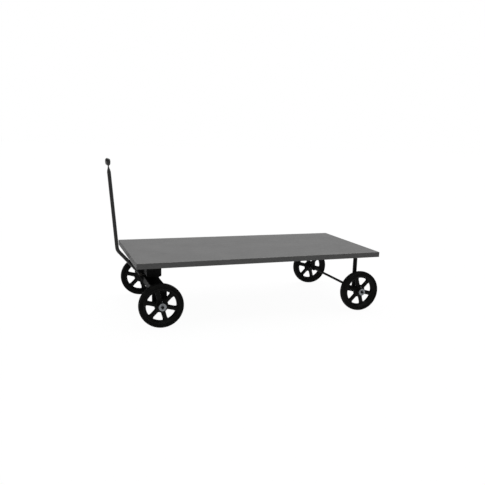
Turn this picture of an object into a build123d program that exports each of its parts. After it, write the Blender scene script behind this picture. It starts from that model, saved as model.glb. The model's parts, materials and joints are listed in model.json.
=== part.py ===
from build123d import *
import os

# Flatbed platform truck with a turntable-steered front axle and a tongue handle.
# Millimetres. +Z is up, the tongue is at -X, and the truck is symmetric about the XZ plane.
# The origin is on the floor, under the centre of the whole truck's length and width.

# Deck
deck_length = 1828.8
deck_width = 914.4
deck_height = 450.0
deck_lip = 38.1
sheet = 2.7
deck_bend = 4.0
grip_reach = 109.0
grip_width = 30.0
handle_reach = grip_reach + grip_width / 2
deck_front = handle_reach - (deck_length + handle_reach) / 2
side_edge = deck_width / 2
sheet_under = deck_height - sheet
channel_depth = 25.0
channel_width = 76.0
channel_wall = 3.0
channel_end_gap = 6.0
channel_length = deck_width - 2 * (sheet + channel_end_gap)
channel_under = sheet_under - channel_depth

# Wheels and axles
axle_height = 152.4
wheel_radius = axle_height
tyre_width = 60.0
tread_crown = 5.5
tread_shoulder_fillet = 4.0
rubber = 24.0
rim_radius = wheel_radius - rubber
window_outer = 104.0
window_inner = 50.0
window_fillet = 6.0
rim_seat = 6.0
rim_edge = 1.5
rim_wall = 4.0
hub_chamfer = 2.0
spoke_count = 6
spoke_width = 33.0
spoke_depth = 24.0
spoke_phase = 45.0
hub_length = 92.0
hub_radius = 30.0
axle_radius = 9.5
roller_radius = 3.95
roller_count = 8
roller_length = 70.0
roller_play = 0.05
roller_circle = axle_radius + roller_play + roller_radius
hub_bore = roller_circle + roller_radius + roller_play
cage_length = 84.0
cage_wall = 3.6
roller_chamfer = 0.4
fitting_along = hub_length / 3
fitting_stem = 2.95
fitting_hole = 3.0
fitting_collar = 4.5
fitting_collar_height = 3.0
fitting_tip = 2.4
fitting_tip_height = 4.0
fitting_stand = 1.0
gap = 0.3
front_axle_x = deck_front + 160.0
rear_axle_x = deck_front + 1674.0
front_inset = 19.0
rear_inset = 10.0
washer_radius = 26.0
washer_thickness = 3.0
pin_hole_offset = 4.5
axle_end = 10.0
axle_chamfer = 1.5
ring_chamfer = 0.6
cotter_wire = 1.6
cotter_below = 5.0
cotter_above = 2.5
cotter_spread = 6.0

# Upper bolster, thrust bearing and kingpin
bolster_width = 101.6
upper_bolster_length = 374.0
upper_bolster_under = 292.0
lower_bolster_top = 267.0
lower_bolster_under = 216.0
bolster_wall = 4.8
race_radius = 49.0
race_bore = 14.0
race_gap = 3.0
race_chamfer = 1.0
ball_radius = 5.5
ball_circle = 36.0
ball_count = 16
kingpin_radius = 12.7
kingpin_head = 24.0
kingpin_play = 0.08
kingpin_chamfer = 2.0
kingpin_washer_radius = 24.0
nut_radius = 21.0
nut_height = 20.0
nut_chamfer = 0.8
kingpin_drop = 42.0

# Front and rear legs
leg_plate = 10.0
front_leg_inset = 75.0
leg_shoulder = 168.0
leg_boss = 26.0
rear_leg_inset = 93.0
rear_leg_radius = 16.0
rear_leg_wall = 3.2
rear_plate = 6.0
rear_plate_length = 110.0
rear_boss_radius = 19.0
rear_boss_length = 44.0
bolt_radius = 5.0
bolt_head_radius = 9.0
bolt_head_height = 4.5
bolt_inset = 13.0
plate_corner = 6.0

# Tongue
tube_radius = 12.7
tube_wall = 2.1
pin_x = deck_front + 91.0
pin_z = 279.0
pin_radius = 8.0
corner_x = deck_front - 64.0
corner_z = 457.0
corner_radius = 55.0
shaft_top_x = deck_front - 103.0
shaft_top_z = 1003.0
neck_z = 1046.0
neck_thickness = 8.0
grip_x = deck_front - grip_reach
grip_z = 1074.5
grip_height = 50.0
grip_length = 84.0
grip_rounding = 12.0
grip_bar_radius = 6.0
grip_bar_length = 64.0
ear_gap = 44.0
ear_thickness = 8.0
ear_radius = 15.0
eye_radius = 15.0
sleeve_radius = 11.0
eye_width = 16.0
ear_step = 3.0
ear_tip_radius = 9.0
stop_radius = 4.0
stop_along = 28.0
spring_wire = 3.0
spring_radius = 13.4
spring_turns = 3
spring_pitch = 3.3
pin_play = 0.06
neck_width = 36.0
neck_x = grip_x + 3.0
spacer_radius = 15.0
kingpin_bottom = lower_bolster_under - kingpin_drop
kingpin_hole_height = 8.0
hinge_head_radius = 13.6
hinge_head_thickness = 4.8
hinge_washer_radius = 14.0
hinge_end = 12.0
hinge_chamfer = 1.2
hinge_hole_y = ear_gap / 2 + ear_thickness + washer_thickness + 2 * gap + pin_hole_offset

os.makedirs("parts", exist_ok=True)


def save(piece, label):
    piece.part.label = label
    export_step(piece.part, "parts/" + label + ".step")


def across(x, y, z):
    """A plane that faces the -Y side, for shapes drawn in side view."""
    return Plane(origin=(x, y, z), x_dir=(1, 0, 0), z_dir=(0, -1, 0))


def section(x, z):
    """A plane through an axle's centre line: its first axis is +Y and its second is +Z."""
    return Plane(origin=(x, 0, z), x_dir=(0, 1, 0), z_dir=(1, 0, 0))


def upward(x, y, z):
    """A level plane, for what stands on top of something."""
    return Plane(origin=(x, y, z), x_dir=(1, 0, 0), z_dir=(0, 0, 1))


def axle_line(x, z):
    return Axis((x, 0, z), (0, 1, 0))


def deck_pan():
    with BuildPart() as pan:
        with BuildSketch(Plane.XY.offset(deck_height)) as outline:
            with Locations((deck_front + deck_length / 2, 0)):
                Rectangle(deck_length, deck_width)
        extrude(amount=-deck_lip)
        fillet(pan.faces().sort_by(Axis.Z)[-1].edges(), deck_bend)
        under = pan.faces().sort_by(Axis.Z)[0]
        offset(amount=-sheet, openings=under)
    return pan


def deck_channels():
    spacing = (rear_axle_x - front_axle_x) / 3
    with BuildPart() as channels:
        for n in range(4):
            x = front_axle_x + n * spacing
            with BuildSketch(section(x, sheet_under)) as side:
                with Locations((0, -channel_depth / 2)):
                    Rectangle(channel_length, channel_depth)
            extrude(amount=channel_width / 2, both=True)
            with BuildSketch(section(x, sheet_under)) as hollow:
                with Locations((0, -(channel_depth - channel_wall) / 2)):
                    Rectangle(channel_length, channel_depth - channel_wall)
            extrude(amount=channel_width / 2 - channel_wall, both=True, mode=Mode.SUBTRACT)
    return channels


def box_tube(low, high, length, bores):
    """A square-cornered tube along Y, with bores (radius, lowest z, highest z) on the kingpin's line."""
    middle = (low + high) / 2
    with BuildPart() as tube:
        with BuildSketch(across(front_axle_x, 0, middle)) as profile:
            RectangleRounded(bolster_width, high - low, 2 * bolster_wall)
            RectangleRounded(
                bolster_width - 2 * bolster_wall,
                high - low - 2 * bolster_wall,
                bolster_wall,
                mode=Mode.SUBTRACT,
            )
        extrude(amount=length / 2, both=True)
        for radius, bottom, top in bores:
            with BuildSketch(Plane.XY.offset(bottom)) as bore:
                with Locations((front_axle_x, 0)):
                    Circle(radius)
            extrude(amount=top - bottom, mode=Mode.SUBTRACT)
    return tube


def end_plates(low, high, length):
    middle = (low + high) / 2
    with BuildPart() as plates:
        for side in (-1, 1):
            with BuildSketch(across(front_axle_x, side * length / 2, middle)) as face:
                RectangleRounded(bolster_width, high - low, 2 * bolster_wall)
            extrude(amount=-side * bolster_wall)
    return plates


def race(low, high, groove_z):
    with BuildPart() as ring:
        with BuildSketch(Plane.XY.offset(low)) as flat:
            with Locations((front_axle_x, 0)):
                Circle(race_radius)
                Circle(race_bore, mode=Mode.SUBTRACT)
        extrude(amount=high - low)
        chamfer(ring.edges().filter_by(GeomType.CIRCLE), race_chamfer)
        with BuildSketch(section(front_axle_x, groove_z)) as groove:
            with Locations((ball_circle, 0)):
                Circle(ball_radius + kingpin_play)
        revolve(axis=Axis((front_axle_x, 0, 0), (0, 0, 1)), mode=Mode.SUBTRACT)
    return ring


def thrust_balls(height):
    with BuildPart() as balls:
        with Locations((front_axle_x, 0, height)):
            with PolarLocations(ball_circle, ball_count):
                Sphere(ball_radius)
    return balls


def kingpin(bottom, shoulder):
    with BuildPart() as pin:
        with BuildSketch(Plane.XY.offset(bottom)) as shank:
            with Locations((front_axle_x, 0)):
                Circle(kingpin_radius)
        extrude(amount=shoulder - bottom)
        with BuildSketch(Plane.XY.offset(shoulder)) as head:
            with Locations((front_axle_x, 0)):
                Circle(kingpin_head)
        extrude(amount=kingpin_radius)
        chamfer(pin.faces().sort_by(Axis.Z)[0].edges(), kingpin_chamfer)
        chamfer(pin.faces().sort_by(Axis.Z)[-1].edges(), kingpin_chamfer)
        with BuildSketch(section(front_axle_x - kingpin_radius, bottom + kingpin_hole_height)) as hole:
            Circle(cotter_wire + gap)
        extrude(amount=2 * kingpin_radius, mode=Mode.SUBTRACT)
    return pin


def ring_on_kingpin(low, high, outer, sides):
    with BuildPart() as ring:
        with BuildSketch(Plane.XY.offset(low)) as flat:
            with Locations((front_axle_x, 0)):
                if sides:
                    RegularPolygon(outer, sides)
                else:
                    Circle(outer)
                Circle(kingpin_radius + gap / 3, mode=Mode.SUBTRACT)
        extrude(amount=high - low)
        chamfer(ring.edges().filter_by(GeomType.CIRCLE), nut_chamfer)
    return ring


def hub_face(inset):
    """How far from the truck's centre plane a hub's outer face lies."""
    return side_edge - inset + hub_length / 2


def axle(x, inset):
    reach = hub_face(inset) + gap + washer_thickness + axle_end
    hole = hub_face(inset) + gap + washer_thickness + pin_hole_offset
    with BuildPart() as rod:
        with BuildSketch(across(x, 0, axle_height)) as round_bar:
            Circle(axle_radius)
        extrude(amount=reach, both=True)
        chamfer(rod.edges().filter_by(GeomType.CIRCLE), axle_chamfer)
        with BuildSketch(Plane.XY.offset(axle_height - axle_radius)) as holes:
            for side in (-1, 1):
                with Locations((x, side * hole)):
                    Circle(cotter_wire + gap)
        extrude(amount=2 * axle_radius, mode=Mode.SUBTRACT)
    return rod


def rings_on_axle(x, spans, outer):
    """Plain rings on an axle, each mirrored to the other side. spans are (inner, outer) ends."""
    with BuildPart() as rings:
        for start, end in spans:
            for side in (-1, 1):
                with BuildSketch(across(x, side * start, axle_height)) as flat:
                    Circle(outer)
                    Circle(axle_radius + gap / 3, mode=Mode.SUBTRACT)
                extrude(amount=-side * (end - start))
        chamfer(rings.edges().filter_by(GeomType.CIRCLE), ring_chamfer)
    return rings


def cotter(middle, shaft_radius):
    """A split pin along a plane's normal, centred on its origin: closed legs, an eye and spread tips."""
    low = -shaft_radius - cotter_below
    high = shaft_radius + cotter_above
    wire = cotter_wire
    with BuildPart() as pin:
        with BuildSketch(middle.offset(low)):
            Circle(wire)
        extrude(amount=high - low)
        with Locations(middle.offset(high + 2 * wire).location * Rotation(90, 0, 0)):
            Torus(2 * wire, wire)
        tips = Plane(origin=middle.offset(low).origin, x_dir=middle.y_dir, z_dir=middle.x_dir)
        with BuildSketch(tips):
            Circle(wire)
        extrude(amount=cotter_spread, both=True)
    return pin


def axle_cotters(x, inset):
    hole = hub_face(inset) + gap + washer_thickness + pin_hole_offset
    with BuildPart() as pins:
        for side in (-1, 1):
            add(cotter(upward(x, side * hole, axle_height), axle_radius).part)
    return pins


def front_leg(side):
    outer_face = side * (side_edge - front_leg_inset)
    half = bolster_width / 2
    with BuildPart() as leg:
        with BuildSketch(across(front_axle_x, outer_face, axle_height)) as shape:
            with BuildLine() as edge:
                top = lower_bolster_top - axle_height
                shoulder = leg_shoulder - axle_height
                Polyline(
                    (-leg_boss, 0),
                    (-half, shoulder),
                    (-half, top),
                    (half, top),
                    (half, shoulder),
                    (leg_boss, 0),
                )
                ThreePointArc((leg_boss, 0), (0, -leg_boss), (-leg_boss, 0))
            make_face()
            Circle(axle_radius + gap / 3, mode=Mode.SUBTRACT)
        extrude(amount=side * leg_plate)
    return leg


def bolt_places():
    """The four bolts of a rear leg's plate, about the plate's middle."""
    return GridLocations(channel_width - 2 * bolt_inset, rear_plate_length - 2 * bolt_inset, 2, 2)


def rear_leg(side):
    y = side * (side_edge - rear_leg_inset)
    under_plate = channel_under - rear_plate
    with BuildPart() as leg:
        with BuildSketch(Plane.XY.offset(under_plate)) as plate:
            with Locations((rear_axle_x, y)):
                RectangleRounded(channel_width, rear_plate_length, plate_corner)
        extrude(amount=rear_plate)
        with BuildSketch(Plane.XY.offset(axle_height)) as post:
            with Locations((rear_axle_x, y)):
                Circle(rear_leg_radius)
        extrude(amount=under_plate - axle_height)
        with BuildSketch(across(rear_axle_x, y, axle_height)) as boss:
            Circle(rear_boss_radius)
        extrude(amount=rear_boss_length / 2, both=True)
        with BuildSketch(Plane.XY.offset(axle_height)) as inside:
            with Locations((rear_axle_x, y)):
                Circle(rear_leg_radius - rear_leg_wall)
        extrude(amount=under_plate - axle_height, mode=Mode.SUBTRACT)
        with BuildSketch(across(rear_axle_x, y, axle_height)) as bore:
            Circle(axle_radius + gap / 3)
        extrude(amount=rear_boss_length / 2, both=True, mode=Mode.SUBTRACT)
        with BuildSketch(Plane.XY.offset(under_plate)) as holes:
            with Locations((rear_axle_x, y)):
                with bolt_places():
                    Circle(bolt_radius + gap)
        extrude(amount=rear_plate, mode=Mode.SUBTRACT)
    return leg


def rear_leg_bolts():
    under_plate = channel_under - rear_plate
    with BuildPart() as bolts:
        for side in (-1, 1):
            y = side * (side_edge - rear_leg_inset)
            with BuildSketch(Plane.XY.offset(under_plate)) as heads:
                with Locations((rear_axle_x, y)):
                    with bolt_places():
                        RegularPolygon(bolt_head_radius, 6)
            extrude(amount=-bolt_head_height)
            with BuildSketch(Plane.XY.offset(under_plate)) as shanks:
                with Locations((rear_axle_x, y)):
                    with bolt_places():
                        Circle(bolt_radius)
            extrude(amount=rear_plate)
    return bolts


def tyre(x, y):
    half = tyre_width / 2
    with BuildPart() as ring:
        with BuildSketch(section(x, axle_height)) as profile:
            with BuildLine() as outline:
                shoulder = wheel_radius - tread_crown
                Line((y - half, rim_radius), (y + half, rim_radius))
                Line((y + half, rim_radius), (y + half, shoulder))
                ThreePointArc((y + half, shoulder), (y, wheel_radius), (y - half, shoulder))
                Line((y - half, shoulder), (y - half, rim_radius))
            make_face()
            shoulder_z = axle_height + shoulder
            sharp = profile.vertices().filter_by_position(Axis.Z, shoulder_z - gap, shoulder_z + gap)
            fillet(sharp, tread_shoulder_fillet)
        revolve(axis=axle_line(x, axle_height))
    return ring


def wheel_centre(x, y, side):
    half_rim = tyre_width / 2 - rim_edge
    rim_inside = window_outer + rim_wall
    with BuildPart() as wheel:
        with BuildSketch(section(x, axle_height)) as rim:
            with BuildLine() as outline:
                Polyline(
                    (y - half_rim, rim_radius),
                    (y + half_rim, rim_radius),
                    (y + half_rim, rim_radius - rim_seat),
                    (y + spoke_depth / 2, window_outer),
                    (y - spoke_depth / 2, window_outer),
                    (y - half_rim, rim_radius - rim_seat),
                    close=True,
                )
            make_face()
        revolve(axis=axle_line(x, axle_height))
        with BuildSketch(across(x, y, axle_height)) as web:
            Circle(rim_inside)
        extrude(amount=spoke_depth / 2, both=True)
        with BuildSketch(across(x, y, axle_height)) as windows:
            Circle(window_outer)
            Circle(window_inner, mode=Mode.SUBTRACT)
            with PolarLocations((window_outer + window_inner) / 2, spoke_count, start_angle=spoke_phase):
                Rectangle(window_outer, spoke_width, mode=Mode.SUBTRACT)
            fillet(windows.vertices(), window_fillet)
        extrude(amount=spoke_depth, both=True, mode=Mode.SUBTRACT)
        with BuildSketch(across(x, y, axle_height)) as hub:
            Circle(hub_radius)
        extrude(amount=hub_length / 2, both=True)
        chamfer(wheel.edges().filter_by(GeomType.CIRCLE).sort_by(Axis.Y)[0], hub_chamfer)
        chamfer(wheel.edges().filter_by(GeomType.CIRCLE).sort_by(Axis.Y)[-1], hub_chamfer)
        with BuildSketch(across(x, y, axle_height)) as bore:
            Circle(hub_bore)
        extrude(amount=hub_length / 2, both=True, mode=Mode.SUBTRACT)
        with BuildSketch(upward(x, y + side * fitting_along, axle_height)) as oil_hole:
            Circle(fitting_hole)
        extrude(amount=hub_radius, mode=Mode.SUBTRACT)
    return wheel


def grease_fitting(x, y, side):
    along = y + side * fitting_along
    seat = axle_height + hub_radius + fitting_stand
    with BuildPart() as nipple:
        with BuildSketch(upward(x, along, axle_height + hub_bore)) as stem:
            Circle(fitting_stem)
        extrude(amount=hub_radius - hub_bore + fitting_stand)
        with BuildSketch(upward(x, along, seat)) as collar:
            RegularPolygon(fitting_collar, 6)
        extrude(amount=fitting_collar_height)
        with BuildSketch(upward(x, along, seat + fitting_collar_height)) as tip:
            Circle(fitting_tip)
        extrude(amount=fitting_tip_height)
        fillet(nipple.faces().sort_by(Axis.Z)[-1].edges(), fitting_stand)
    return nipple


def bearing_rollers(x, y):
    with BuildPart() as rollers:
        with BuildSketch(across(x, y, axle_height)) as ends:
            with PolarLocations(roller_circle, roller_count):
                Circle(roller_radius)
        extrude(amount=roller_length / 2, both=True)
        chamfer(rollers.edges().filter_by(GeomType.CIRCLE), roller_chamfer)
    return rollers


def bearing_cage(x, y):
    with BuildPart() as cage:
        with BuildSketch(across(x, y, axle_height)) as tube:
            Circle(roller_circle + cage_wall / 2)
            Circle(roller_circle - cage_wall / 2, mode=Mode.SUBTRACT)
        extrude(amount=cage_length / 2, both=True)
        with BuildSketch(across(x, y, axle_height)) as pockets:
            with PolarLocations(roller_circle, roller_count):
                Circle(roller_radius + gap / 2)
        extrude(amount=roller_length / 2 + gap, both=True, mode=Mode.SUBTRACT)
    return cage


# The two straight runs of the shaft's centre line, and where the upright shaft comes to rest
run_x = corner_x - pin_x
run_z = corner_z - pin_z
run = (run_x**2 + run_z**2) ** 0.5
stop_off = tube_radius + stop_radius + gap
stop_x = (run_x * stop_along + run_z * stop_off) / run
stop_z = (run_z * stop_along - run_x * stop_off) / run
rise_x = shaft_top_x - corner_x
rise_z = shaft_top_z - corner_z
rise = (rise_x**2 + rise_z**2) ** 0.5


def swept_shaft(radius):
    """A round bar along the shaft's centre line: up from the eye, round one bend, to the neck."""
    with BuildPart() as bar:
        with BuildLine(Plane.XZ) as path:
            FilletPolyline(
                (pin_x, pin_z),
                (corner_x, corner_z),
                (shaft_top_x, shaft_top_z),
                radius=corner_radius,
            )
        start = Plane(origin=(pin_x, 0, pin_z), x_dir=(0, 1, 0), z_dir=(run_x / run, 0, run_z / run))
        with BuildSketch(start):
            Circle(radius)
        sweep(path=path.line)
    return bar


def tongue_shaft():
    rising = (rise_x / rise, 0, rise_z / rise)
    top = Plane(origin=(shaft_top_x, 0, shaft_top_z), x_dir=(0, 1, 0), z_dir=rising)
    pinched = Plane(origin=(neck_x, 0, neck_z), x_dir=(0, 1, 0), z_dir=(0, 0, 1))
    with BuildPart() as shaft:
        add(swept_shaft(tube_radius).part)
        with BuildSketch(top):
            Circle(tube_radius)
        with BuildSketch(pinched):
            Ellipse(neck_width / 2, neck_thickness / 2)
        loft()
        with BuildSketch(pinched):
            Ellipse(neck_width / 2, neck_thickness / 2)
        extrude(amount=grip_z - neck_z)
        with BuildSketch(across(grip_x, 0, grip_z)):
            Circle(grip_bar_radius)
        extrude(amount=grip_length, both=True, mode=Mode.SUBTRACT)
        with BuildSketch(across(pin_x, 0, pin_z)):
            Circle(eye_radius)
        extrude(amount=ear_gap, both=True, mode=Mode.SUBTRACT)
        add(swept_shaft(tube_radius - tube_wall).part, mode=Mode.SUBTRACT)
    return shaft


def tongue_eye():
    half = ear_gap / 2 - gap
    with BuildPart() as eye:
        with BuildSketch(across(pin_x, 0, pin_z)):
            Circle(eye_radius)
        extrude(amount=eye_width / 2, both=True)
        with BuildSketch(across(pin_x, 0, pin_z)):
            Circle(sleeve_radius)
        extrude(amount=half, both=True)
        with BuildSketch(across(pin_x, 0, pin_z)):
            Circle(pin_radius + pin_play)
        extrude(amount=half, both=True, mode=Mode.SUBTRACT)
    return eye


def grip_bar():
    with BuildPart() as bar:
        with BuildSketch(across(grip_x, 0, grip_z)):
            Circle(grip_bar_radius)
        extrude(amount=grip_bar_length / 2, both=True)
    return bar


def grip():
    """The moulded palm grip: an upright oval section, well rounded at both ends."""
    oval = Plane(origin=(grip_x, 0, grip_z), x_dir=(0, 0, 1), z_dir=(0, 1, 0))
    with BuildPart() as palm:
        with BuildSketch(oval):
            SlotOverall(grip_height, grip_width)
        extrude(amount=grip_length / 2, both=True)
        ends = palm.faces().filter_by(Axis.Y)
        fillet(ends.edges(), grip_rounding)
        with BuildSketch(oval):
            Circle(grip_bar_radius)
        extrude(amount=grip_bar_length / 2, both=True, mode=Mode.SUBTRACT)
        with BuildSketch(Plane(origin=(neck_x, 0, neck_z), x_dir=(0, 1, 0), z_dir=(0, 0, 1))):
            Ellipse(neck_width / 2, neck_thickness / 2)
        extrude(amount=grip_z - neck_z, mode=Mode.SUBTRACT)
    return palm


def tongue_ears():
    """Two plates on the bolster's front face, joined by the bar that the upright shaft rests against."""
    back = front_axle_x - bolster_width / 2 - pin_x
    top = lower_bolster_top - ear_step - pin_z
    foot = lower_bolster_under + ear_step - pin_z
    with BuildPart() as ears:
        for side in (-1, 1):
            with BuildSketch(across(pin_x, side * ear_gap / 2, pin_z)):
                with BuildLine():
                    CenterArc((0, 0), ear_radius, 0, 360)
                    CenterArc((stop_x, stop_z), ear_tip_radius, 0, 360)
                make_hull()
                with BuildLine():
                    Polyline((-ear_radius, 0), (back, foot), (back, top), (ear_radius, 0), close=True)
                make_face()
                Circle(pin_radius + pin_play, mode=Mode.SUBTRACT)
            extrude(amount=-side * ear_thickness)
        with BuildSketch(across(pin_x, 0, pin_z)):
            with Locations((stop_x, stop_z)):
                Circle(stop_radius)
        extrude(amount=ear_gap / 2, both=True)
    return ears


def hinge_pin():
    half = ear_gap / 2 + ear_thickness
    with BuildPart() as pin:
        with BuildSketch(across(pin_x, -half - gap, pin_z)):
            Circle(hinge_head_radius)
        extrude(amount=hinge_head_thickness)
        with BuildSketch(across(pin_x, -half - gap, pin_z)):
            Circle(pin_radius)
        extrude(amount=-(2 * half + 2 * gap + washer_thickness + hinge_end))
        chamfer(pin.edges().filter_by(GeomType.CIRCLE).sort_by(Axis.Y)[-1], hinge_chamfer)
        with BuildSketch(Plane.XY.offset(pin_z - pin_radius)):
            with Locations((pin_x, hinge_hole_y)):
                Circle(cotter_wire + gap)
        extrude(amount=2 * pin_radius, mode=Mode.SUBTRACT)
    return pin


def hinge_washer():
    half = ear_gap / 2 + ear_thickness
    with BuildPart() as washer:
        with BuildSketch(across(pin_x, half + gap, pin_z)):
            Circle(hinge_washer_radius)
            Circle(pin_radius + gap / 3, mode=Mode.SUBTRACT)
        extrude(amount=-washer_thickness)
    return washer


def return_springs():
    """A coil round the hinge pin on each side of the eye."""
    length = spring_turns * spring_pitch
    with BuildPart() as springs:
        for side in (-1, 1):
            start = side * (eye_width / 2 + spring_wire / 2 + gap)
            with BuildLine() as coil:
                Helix(
                    spring_pitch,
                    length,
                    spring_radius,
                    center=(pin_x, start, pin_z),
                    direction=(0, side, 0),
                )
            with BuildSketch(Plane(origin=coil.line @ 0, z_dir=coil.line % 0)):
                Circle(spring_wire / 2)
            sweep(path=coil.line)
    return springs


# The platform body
save(deck_pan(), "deck_pan")
save(deck_channels(), "deck_channels")
upper_bore = ((kingpin_radius + gap / 3, upper_bolster_under, upper_bolster_under + bolster_wall),)
save(box_tube(upper_bolster_under, channel_under, upper_bolster_length, upper_bore), "upper_bolster")
save(end_plates(upper_bolster_under, channel_under, upper_bolster_length), "upper_bolster_ends")
ball_z = (upper_bolster_under + lower_bolster_top) / 2
save(race(ball_z + race_gap / 2, upper_bolster_under, ball_z), "upper_race")
save(kingpin(kingpin_bottom, upper_bolster_under + bolster_wall), "kingpin")
washer_top = lower_bolster_under - gap
nut_top = washer_top - washer_thickness - gap
washer_under = washer_top - washer_thickness
save(ring_on_kingpin(washer_under, washer_top, kingpin_washer_radius, 0), "kingpin_washer")
save(ring_on_kingpin(nut_top - nut_height, nut_top, nut_radius, 6), "kingpin_nut")
kingpin_hole = section(front_axle_x, kingpin_bottom + kingpin_hole_height)
save(cotter(kingpin_hole, kingpin_radius), "kingpin_cotter")
save(rear_leg(-1), "left_rear_leg")
save(rear_leg(1), "right_rear_leg")
save(rear_leg_bolts(), "rear_leg_bolts")
save(axle(rear_axle_x, rear_inset), "rear_axle")

# The front truck, which steers on the kingpin
lower_bores = (
    (kingpin_radius + kingpin_play, lower_bolster_under, lower_bolster_under + bolster_wall),
    (kingpin_radius + kingpin_play, lower_bolster_top - bolster_wall, lower_bolster_top),
)
lower_length = 2 * (side_edge - front_leg_inset - leg_plate)
save(box_tube(lower_bolster_under, lower_bolster_top, lower_length, lower_bores), "lower_bolster")
save(race(lower_bolster_top, ball_z - race_gap / 2, ball_z), "lower_race")
save(thrust_balls(ball_z), "thrust_balls")
save(front_leg(-1), "left_front_leg")
save(front_leg(1), "right_front_leg")
save(axle(front_axle_x, front_inset), "front_axle")
save(tongue_ears(), "tongue_ears")
save(hinge_pin(), "hinge_pin")
save(hinge_washer(), "hinge_washer")
save(cotter(upward(pin_x, hinge_hole_y, pin_z), pin_radius), "hinge_cotter")
save(return_springs(), "return_springs")

# The tongue
save(tongue_shaft(), "tongue_shaft")
save(tongue_eye(), "tongue_eye")
save(grip_bar(), "grip_bar")
save(grip(), "grip")

# Wheels, and the rings and split pins that keep them on their axles
axle_places = (
    ("front", front_axle_x, front_inset, side_edge - front_leg_inset),
    ("rear", rear_axle_x, rear_inset, side_edge - rear_leg_inset + rear_boss_length / 2),
)
for end, x, inset, leg_face in axle_places:
    outer = hub_face(inset) + gap
    inner = hub_face(inset) - hub_length - gap
    save(rings_on_axle(x, ((outer, outer + washer_thickness),), washer_radius), end + "_hub_washers")
    save(rings_on_axle(x, ((leg_face, inner),), spacer_radius), end + "_axle_spacers")
    save(axle_cotters(x, inset), end + "_axle_cotters")
    for name, side in (("left", -1), ("right", 1)):
        y = side * (side_edge - inset)
        label = name + "_" + end
        save(tyre(x, y), label + "_tyre")
        save(wheel_centre(x, y, side), label + "_wheel_centre")
        save(bearing_cage(x, y), label + "_bearing_cage")
        save(bearing_rollers(x, y), label + "_bearing_rollers")
        save(grease_fitting(x, y, side), label + "_grease_fitting")
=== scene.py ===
import json
import math
import bpy
import bmesh
from mathutils import Matrix, Vector


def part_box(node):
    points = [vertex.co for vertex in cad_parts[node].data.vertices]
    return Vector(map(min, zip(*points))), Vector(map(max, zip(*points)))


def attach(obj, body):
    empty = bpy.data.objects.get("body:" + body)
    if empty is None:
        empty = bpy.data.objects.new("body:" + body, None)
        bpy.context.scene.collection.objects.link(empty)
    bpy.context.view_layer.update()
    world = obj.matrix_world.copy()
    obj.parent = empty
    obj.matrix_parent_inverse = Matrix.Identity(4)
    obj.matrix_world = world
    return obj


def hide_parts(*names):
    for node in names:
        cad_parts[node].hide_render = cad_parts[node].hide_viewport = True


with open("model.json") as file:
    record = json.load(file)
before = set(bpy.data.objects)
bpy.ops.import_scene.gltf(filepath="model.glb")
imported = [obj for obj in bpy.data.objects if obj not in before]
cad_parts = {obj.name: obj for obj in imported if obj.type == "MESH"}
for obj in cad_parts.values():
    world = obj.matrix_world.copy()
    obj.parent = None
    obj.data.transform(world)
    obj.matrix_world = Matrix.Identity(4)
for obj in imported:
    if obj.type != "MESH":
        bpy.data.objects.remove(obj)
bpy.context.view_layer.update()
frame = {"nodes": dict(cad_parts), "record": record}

mm = 0.001  # every size in the dictionaries below is in millimetres
slip = 0.1  # how far a ring's bore stands off the bar inside it
nodes = frame["nodes"]
wheelNames = ("left_front", "right_front", "left_rear", "right_rear")


# a CAD node's box in millimetres: its low corner, its high corner and its middle
def boxOf(name):
    low, high = (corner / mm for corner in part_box(name))
    return low, high, (low + high) / 2


# sRGB hex to the linear colour that the shaders take
def hexColour(code):
    channels = [int(code[i:i + 2], 16) / 255 for i in (1, 3, 5)]
    linear = [c / 12.92 if c <= 0.04045 else ((c + 0.055) / 1.055) ** 2.4 for c in channels]
    return (*linear, 1.0)


# one node with its settings and its links or values; a key is a socket's name or its number
def addNode(tree, kind, inputs=None, **settings):
    node = tree.nodes.new(kind)
    for key, value in settings.items():
        setattr(node, key, value)
    for key, value in (inputs or {}).items():
        socket = node.inputs[key]
        if isinstance(value, bpy.types.NodeSocket):
            tree.links.new(value, socket)
        else:
            socket.default_value = value
    return node


def newMaterial(name):
    material = bpy.data.materials.new(name)
    material.use_nodes = True
    tree = material.node_tree
    tree.nodes.clear()
    output = addNode(tree, "ShaderNodeOutputMaterial")
    shader = addNode(tree, "ShaderNodeBsdfPrincipled")
    tree.links.new(shader.outputs[0], output.inputs[0])
    place = addNode(tree, "ShaderNodeTexCoord").outputs["Object"]
    return material, tree, shader, place


# a noise whose features are about size millimetres across
def noiseAt(tree, place, size, detail=3.0, roughness=0.5):
    scale = 1 / (size * mm)
    return addNode(tree, "ShaderNodeTexNoise", {"Vector": place, "Scale": scale, "Detail": detail,
                                                "Roughness": roughness}).outputs["Fac"]


def rangeOf(tree, value, low, high, fromLow=0.3, fromHigh=0.7):
    return addNode(tree, "ShaderNodeMapRange", {"Value": value, "From Min": fromLow, "From Max": fromHigh,
                                                "To Min": low, "To Max": high}).outputs[0]


def maths(tree, operation, *values):
    return addNode(tree, "ShaderNodeMath", dict(enumerate(values)), operation=operation).outputs[0]


# a mix of two colours, each a hex code or another node's output
def mixColours(tree, factor, *pair):
    first, second = (hexColour(colour) if isinstance(colour, str) else colour for colour in pair)
    return addNode(tree, "ShaderNodeMix", {"Factor": factor, 6: first, 7: second},
                   data_type="RGBA").outputs[2]


# joins what a finish has drawn to its shader
def dress(tree, shader, colour, roughness, normal):
    for name, value in (("Base Color", colour), ("Roughness", roughness), ("Normal", normal)):
        tree.links.new(value, shader.inputs[name])


def bumpFrom(tree, height, strength, distance):
    return addNode(tree, "ShaderNodeBump", {"Height": height, "Strength": strength,
                                            "Distance": distance * mm}).outputs["Normal"]


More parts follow.
